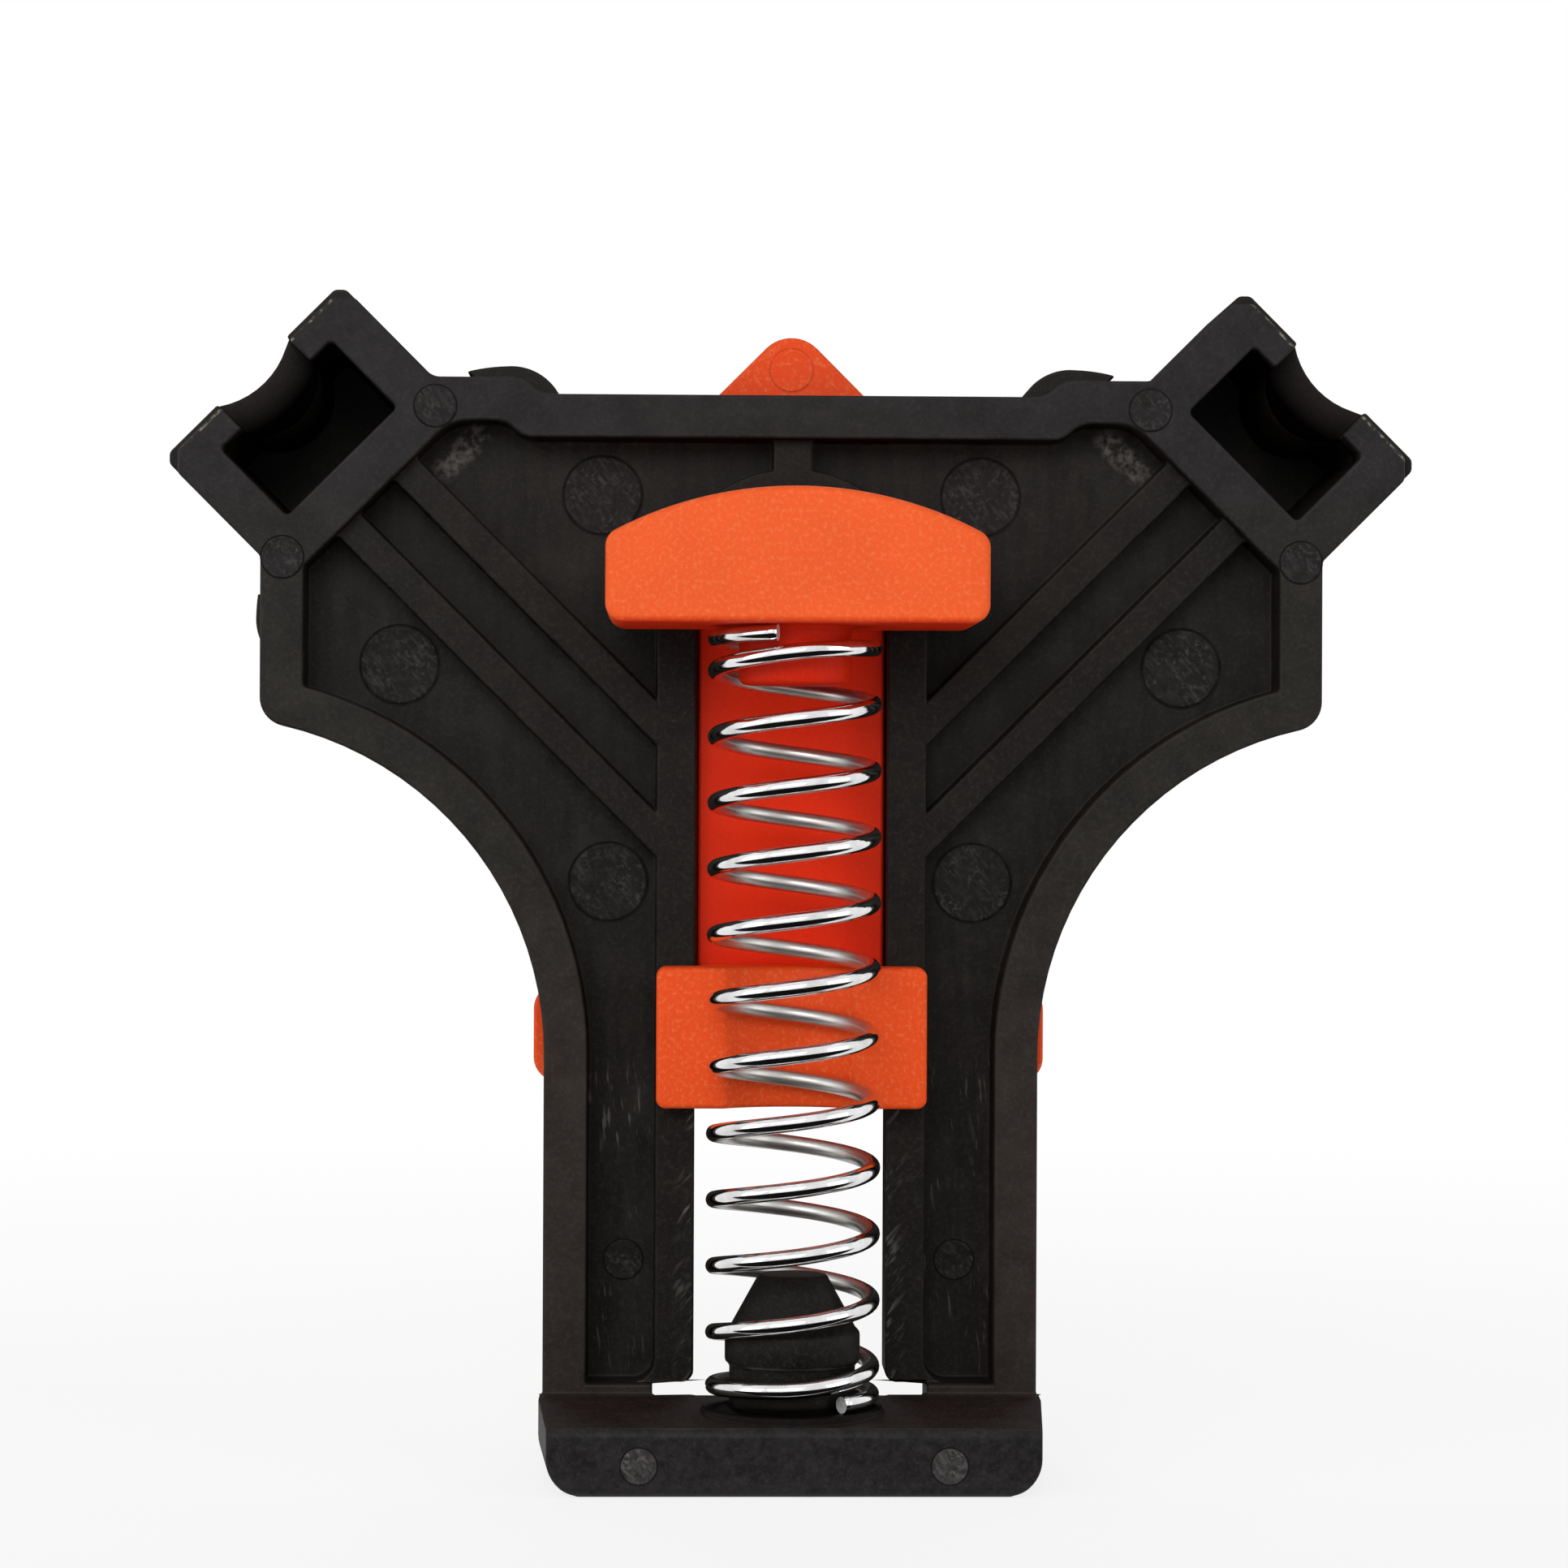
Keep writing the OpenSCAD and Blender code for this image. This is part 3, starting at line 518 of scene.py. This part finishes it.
def spring_wire():
    """Bright plated wire with small stains, polished outside the coil and duller inside it."""
    f = Finish("spring_steel_finish")
    stains = f.ramp(f.noise(3, 4, 0.6), 0.4, 0.75)
    inside = f.fade(f.coil_reach(), SPRING_R + 0.2, SPRING_R - 0.5)
    steel = f.mix(inside, OUTER_STEEL, INNER_STEEL)
    f.set(Base_Color=f.mix(stains, steel, f.mix(0.5, steel, STEEL_STAIN)), Metallic=1.0)
    rough = f.maths("ADD", f.ramp(inside, 0, 1, 0.08, 0.34), f.ramp(stains, 0, 1, 0, 0.06))
    f.set(Roughness=rough, Normal=f.bump(f.noise(0.6, 2), 0.002))
    return f.material


def cut_wire():
    """Sheared ends of the wire: bare, dull steel."""
    f = Finish("cut_wire_finish")
    grain = f.noise(0.3, 3)
    f.set(Base_Color=f.mix(grain, *CUT_STEEL), Metallic=1.0)
    f.set(Roughness=f.ramp(grain, 0.3, 0.7, 0.5, 0.62), Normal=f.bump(grain, 0.02))
    return f.material


def zinc_steel():
    """Plated pins and screws with a faint grain and small stains."""
    f = Finish("zinc_steel_finish")
    stains = f.noise(3, 4, 0.6)
    f.set(Base_Color=f.mix(f.ramp(stains, 0.45, 0.75), *ZINC), Metallic=1.0)
    f.set(Roughness=f.ramp(stains, 0.3, 0.75, 0.22, 0.48), Normal=f.bump(f.noise(0.3, 2), 0.004))
    return f.material


def soften(obj, width_mm):
    """Small rounded edges, with flat faces kept flat and slivers merged."""
    weld = obj.modifiers.new("weld", "WELD")
    weld.merge_threshold = WELD_MM * MM
    edge = obj.modifiers.new("edge", "BEVEL")
    edge.width = width_mm * MM
    edge.segments = 3 if width_mm > FINE_EDGE_MM else 2
    edge.limit_method = "ANGLE"
    edge.angle_limit = math.radians(EDGE_ANGLE_DEG)
    edge.use_clamp_overlap = False
    edge.loop_slide = False
    edge.harden_normals = True
    clean = obj.modifiers.new("clean", "WELD")
    clean.merge_threshold = CLEAN_MM * MM


def dress(name, material, edge_mm=0.0):
    """Gives a solid its finish and, where asked, softened edges."""
    obj = nodes[name]
    for place in obj.material_slots:
        place.material = material
    if edge_mm:
        soften(obj, edge_mm)


def add_mesh(name, points, faces, materials, body):
    """A new piece of the clamp that rides on a body."""
    mesh = bpy.data.meshes.new(name)
    mesh.from_pydata(points, [], faces)
    for material in materials:
        mesh.materials.append(material)
    obj = bpy.data.objects.new(name, mesh)
    bpy.context.scene.collection.objects.link(obj)
    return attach(obj, body)


def wire_height(turn):
    """Height of the wire's centre: closed turns at both ends, open ones between."""
    rise = WIRE_Z[1] - WIRE_Z[0]
    closed = (SPRING_TURNS * SPRING_PITCH - rise) / (2 * (SPRING_PITCH - CLOSED_PITCH))
    opened = min(max(turn, closed), SPRING_TURNS - closed) - closed
    ends = min(turn, closed) + max(0, turn - SPRING_TURNS + closed)
    return WIRE_Z[0] + CLOSED_PITCH * ends + SPRING_PITCH * opened


def wire_bend(turn):
    """The same height with the bends between closed and open turns rounded."""
    return sum(wire_height(turn + shift) for shift in BEND_TURNS) / len(BEND_TURNS)


def add_spring(materials):
    """Round wire swept along the coil, with flat cut ends in the second material."""
    steps = round(SPRING_TURNS * STEPS_PER_TURN)
    points = []
    faces = []
    for i in range(steps + 1):
        turn = SPRING_TURNS * i / steps
        angle = math.radians(SPRING_START_DEG + 360 * turn)
        centre_z = wire_height(turn) if i in (0, steps) else wire_bend(turn)
        for k in range(WIRE_SIDES):
            side = 2 * math.pi * k / WIRE_SIDES
            r = SPRING_R + WIRE_D / 2 * math.cos(side)
            z = centre_z + WIRE_D / 2 * math.sin(side)
            points.append((r * math.cos(angle) * MM, (SPRING_Y + r * math.sin(angle)) * MM, z * MM))
    for i in range(steps):
        a = i * WIRE_SIDES
        b = a + WIRE_SIDES
        for k in range(WIRE_SIDES):
            n = (k + 1) % WIRE_SIDES
            faces.append((a + k, a + n, b + n, b + k))
    faces.append(tuple(reversed(range(WIRE_SIDES))))
    faces.append(tuple(steps * WIRE_SIDES + k for k in range(WIRE_SIDES)))
    spring = add_mesh("coil_spring", points, faces, materials, "frame")
    for face in spring.data.polygons:
        on_wire = len(face.vertices) == 4
        face.use_smooth = on_wire
        face.material_index = 0 if on_wire else 1
    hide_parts("return_spring")
    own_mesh(spring)


def mould_marks(name, centres, radius, y, materials, body):
    """Round ejector marks that stand a hair proud of a face that looks along -Y."""
    points = []
    faces = []
    for x, z in centres:
        first = len(points)
        for share, height in MARK_PROFILE:
            for k in range(MARK_SIDES):
                angle = 2 * math.pi * k / MARK_SIDES
                dx = share * radius * math.cos(angle)
                dz = share * radius * math.sin(angle)
                points.append(((x + dx) * MM, (y - height) * MM, (z + dz) * MM))
        for ring in range(len(MARK_PROFILE) - 1):
            a = first + ring * MARK_SIDES
            b = a + MARK_SIDES
            for k in range(MARK_SIDES):
                n = (k + 1) % MARK_SIDES
                faces.append((a + k, a + n, b + n, b + k))
        faces.append(tuple(range(len(points) - MARK_SIDES, len(points))))
    obj = add_mesh(name, points, faces, materials, body)
    per_mark = (len(MARK_PROFILE) - 1) * MARK_SIDES + 1
    for face in obj.data.polygons:
        face.material_index = int(face.index % per_mark >= MARK_RING * MARK_SIDES)
    joined = bmesh.new()
    joined.from_mesh(obj.data)
    bmesh.ops.remove_doubles(joined, verts=joined.verts, dist=MERGE_MM * MM)
    bmesh.ops.recalc_face_normals(joined, faces=joined.faces)
    joined.to_mesh(obj.data)
    joined.free()


def mirrored(places):
    """Places on the right-hand side and their mirror images."""
    return [(side * x, z) for x, z in places for side in (-1, 1)]


def add_lamp(name, place, size, power):
    """A soft rectangular lamp that faces the clamp."""
    lamp = bpy.data.lights.new(name, "AREA")
    lamp.shape = "RECTANGLE"
    lamp.size, lamp.size_y = size
    lamp.energy = power
    obj = bpy.data.objects.new(name, lamp)
    bpy.context.scene.collection.objects.link(obj)
    obj.location = place
    obj.rotation_euler = (Vector(LIT_POINT) - Vector(place)).to_track_quat("-Z", "Y").to_euler()


def add_camera():
    """Camera at the photograph's place, turned about the middle of the view."""
    data = bpy.data.cameras.new("camera")
    data.sensor_width = SENSOR_MM
    data.lens = FOCAL_PX / IMAGE_PX * SENSOR_MM
    data.clip_start = CLIP_START_M
    obj = bpy.data.objects.new("camera", data)
    bpy.context.scene.collection.objects.link(obj)
    turn = Matrix.Rotation(math.radians(CAMERA_YAW_DEG), 4, "Z")
    turn @= Matrix.Rotation(math.radians(CAMERA_PITCH_DEG), 4, "X")
    turn @= Matrix.Rotation(math.radians(CAMERA_ROLL_DEG), 4, "Y")
    centre = Matrix.Translation(Vector(VIEW_CENTRE_MM) * MM)
    offset = Matrix.Translation(Vector(CAMERA_OFFSET_MM) * MM)
    obj.matrix_world = centre @ turn @ offset @ Matrix.Rotation(math.radians(90), 4, "X")
    bpy.context.scene.camera = obj


def seen_directly(tree):
    """1 for camera, mirror and glass rays, which show the background, and 0 for other light."""
    path = tree.nodes.new("ShaderNodeLightPath")
    found = path.outputs["Is Camera Ray"]
    for other in ("Is Glossy Ray", "Is Transmission Ray"):
        node = tree.nodes.new("ShaderNodeMath")
        node.operation = "MAXIMUM"
        tree.links.new(found, node.inputs[0])
        tree.links.new(path.outputs[other], node.inputs[1])
        found = node.outputs[0]
    return found


def add_world():
    """White surroundings that give less light than they show."""
    world = bpy.data.worlds.new("studio")
    bpy.context.scene.world = world
    world.use_nodes = True
    tree = world.node_tree
    background = tree.nodes["Background"]
    background.inputs["Color"].default_value = WHITE
    level = tree.nodes.new("ShaderNodeMapRange")
    level.inputs["To Min"].default_value = WORLD_LIGHT
    tree.links.new(seen_directly(tree), level.inputs["Value"])
    tree.links.new(level.outputs[0], background.inputs["Strength"])


def stage_plate(name, corners, material):
    """A flat plate of the studio, which isn't part of the clamp."""
    mesh = bpy.data.meshes.new(name)
    mesh.from_pydata(corners, [], [(0, 1, 2, 3)])
    mesh.materials.append(material)
    plate = bpy.data.objects.new(name, mesh)
    bpy.context.scene.collection.objects.link(plate)
    return plate


def add_floor():
    """Pale floor that shows as the white background, with the clamp's soft shadow near it."""
    floor = Finish("pale_floor")
    floor.set(Base_Color=FLOOR_TONE, Roughness=1.0)
    reach = floor.add("ShaderNodeVectorMath", {0: floor.place}, operation="LENGTH").outputs["Value"]
    share = floor.times(seen_directly(floor.tree), floor.ramp(reach, *GLOW_REACH, *GLOW_SHARE))
    glow = floor.add("ShaderNodeEmission").outputs[0]
    blend = floor.add("ShaderNodeMixShader", {0: share, 1: floor.shader.outputs[0], 2: glow})
    floor.feed(floor.tree.nodes["Material Output"].inputs["Surface"], blend.outputs[0])
    half = FLOOR_HALF
    z = cad_low.z - FLOOR_DROP_MM * MM
    corners = [(-half, -half, z), (half, -half, z), (half, half, z), (-half, half, z)]
    stage_plate("floor", corners, floor.material)


def add_black_cards():
    """Black cards on the floor in front and upright behind, which only bright steel and sheen show."""
    card = Finish("black_card")
    card.set(Base_Color=CARD_TONE, Roughness=1.0, Specular_IOR_Level=0)
    low = cad_low.z + CARD_LIFT_MM * MM
    near, far = FRONT_CARD_Y
    x = FRONT_CARD_X
    front = [(-x, near, low), (x, near, low), (x, far, low), (-x, far, low)]
    x, y, top = BACK_CARD_X, BACK_CARD_Y, BACK_CARD_TOP
    behind = [(-x, y, low), (x, y, low), (x, y, top), (-x, y, top)]
    for name, corners in (("front_card", front), ("back_card", behind)):
        plate = stage_plate(name, corners, card.material)
        plate.visible_camera = False
        plate.visible_diffuse = False
        plate.visible_shadow = False


clear_stage()
bpy.context.scene.view_settings.view_transform = "Standard"
add_camera()
add_world()
add_floor()
add_black_cards()
for lamp_values in LAMPS:
    add_lamp(*lamp_values)

black = frame_nylon()
jaw_black = jaw_nylon()
ring_black = ring_nylon()
tray_marks = [mark_nylon("tray_mark_finish", TRAY_MARK_TONES, share=0.3), ring_black]
post_marks = [mark_nylon("post_mark_finish", POST_MARK_TONES, share=0.3), ring_black]
palm_marks = [mark_nylon("palm_mark_finish", PALM_MARK_TONES, share=0.9), ring_black]
thrust_orange = orange_plastic("thrust_orange_finish", THRUST_TONE, **THRUST_SHADE)
guide_orange = orange_plastic("guide_orange_finish", GUIDE_TONE)
slider_orange = orange_plastic("slider_orange_finish", SLIDER_TONE, **SLIDER_SHADE)
arrow_marks = [slider_orange, orange_plastic("ring_orange_finish", RING_ORANGE)]
spring_steel = [spring_wire(), cut_wire()]
zinc = zinc_steel()

dress("clamp_frame", black, edge_mm=0.3)
for jaw in ("left_jaw", "right_jaw"):
    dress(jaw, jaw_black, edge_mm=0.3)
dress("slider", slider_orange, edge_mm=0.4)
dress("thrust_block", thrust_orange, edge_mm=0.8)
dress("guide_block", guide_orange, edge_mm=0.6)
for name in nodes:
    if name.endswith(("_pin", "_screw")):
        dress(name, zinc)

add_spring(spring_steel)
mould_marks("floor_marks", mirrored(FLOOR_MARKS), FLOOR_MARK_R, FLOOR_Y,
            tray_marks, "frame")
mould_marks("neck_marks", mirrored(NECK_MARKS), NECK_MARK_R, FLOOR_Y, tray_marks, "frame")
mould_marks("post_marks", mirrored(POST_MARKS), POST_MARK_R, RIM_Y, post_marks, "frame")
mould_marks("palm_marks", mirrored(PALM_MARKS), PALM_MARK_R, PALM_FRONT_Y,
            palm_marks, "frame")
mould_marks("arrow_mark", ARROW_MARKS, ARROW_MARK_R, ARROW_Y, arrow_marks, "slider")
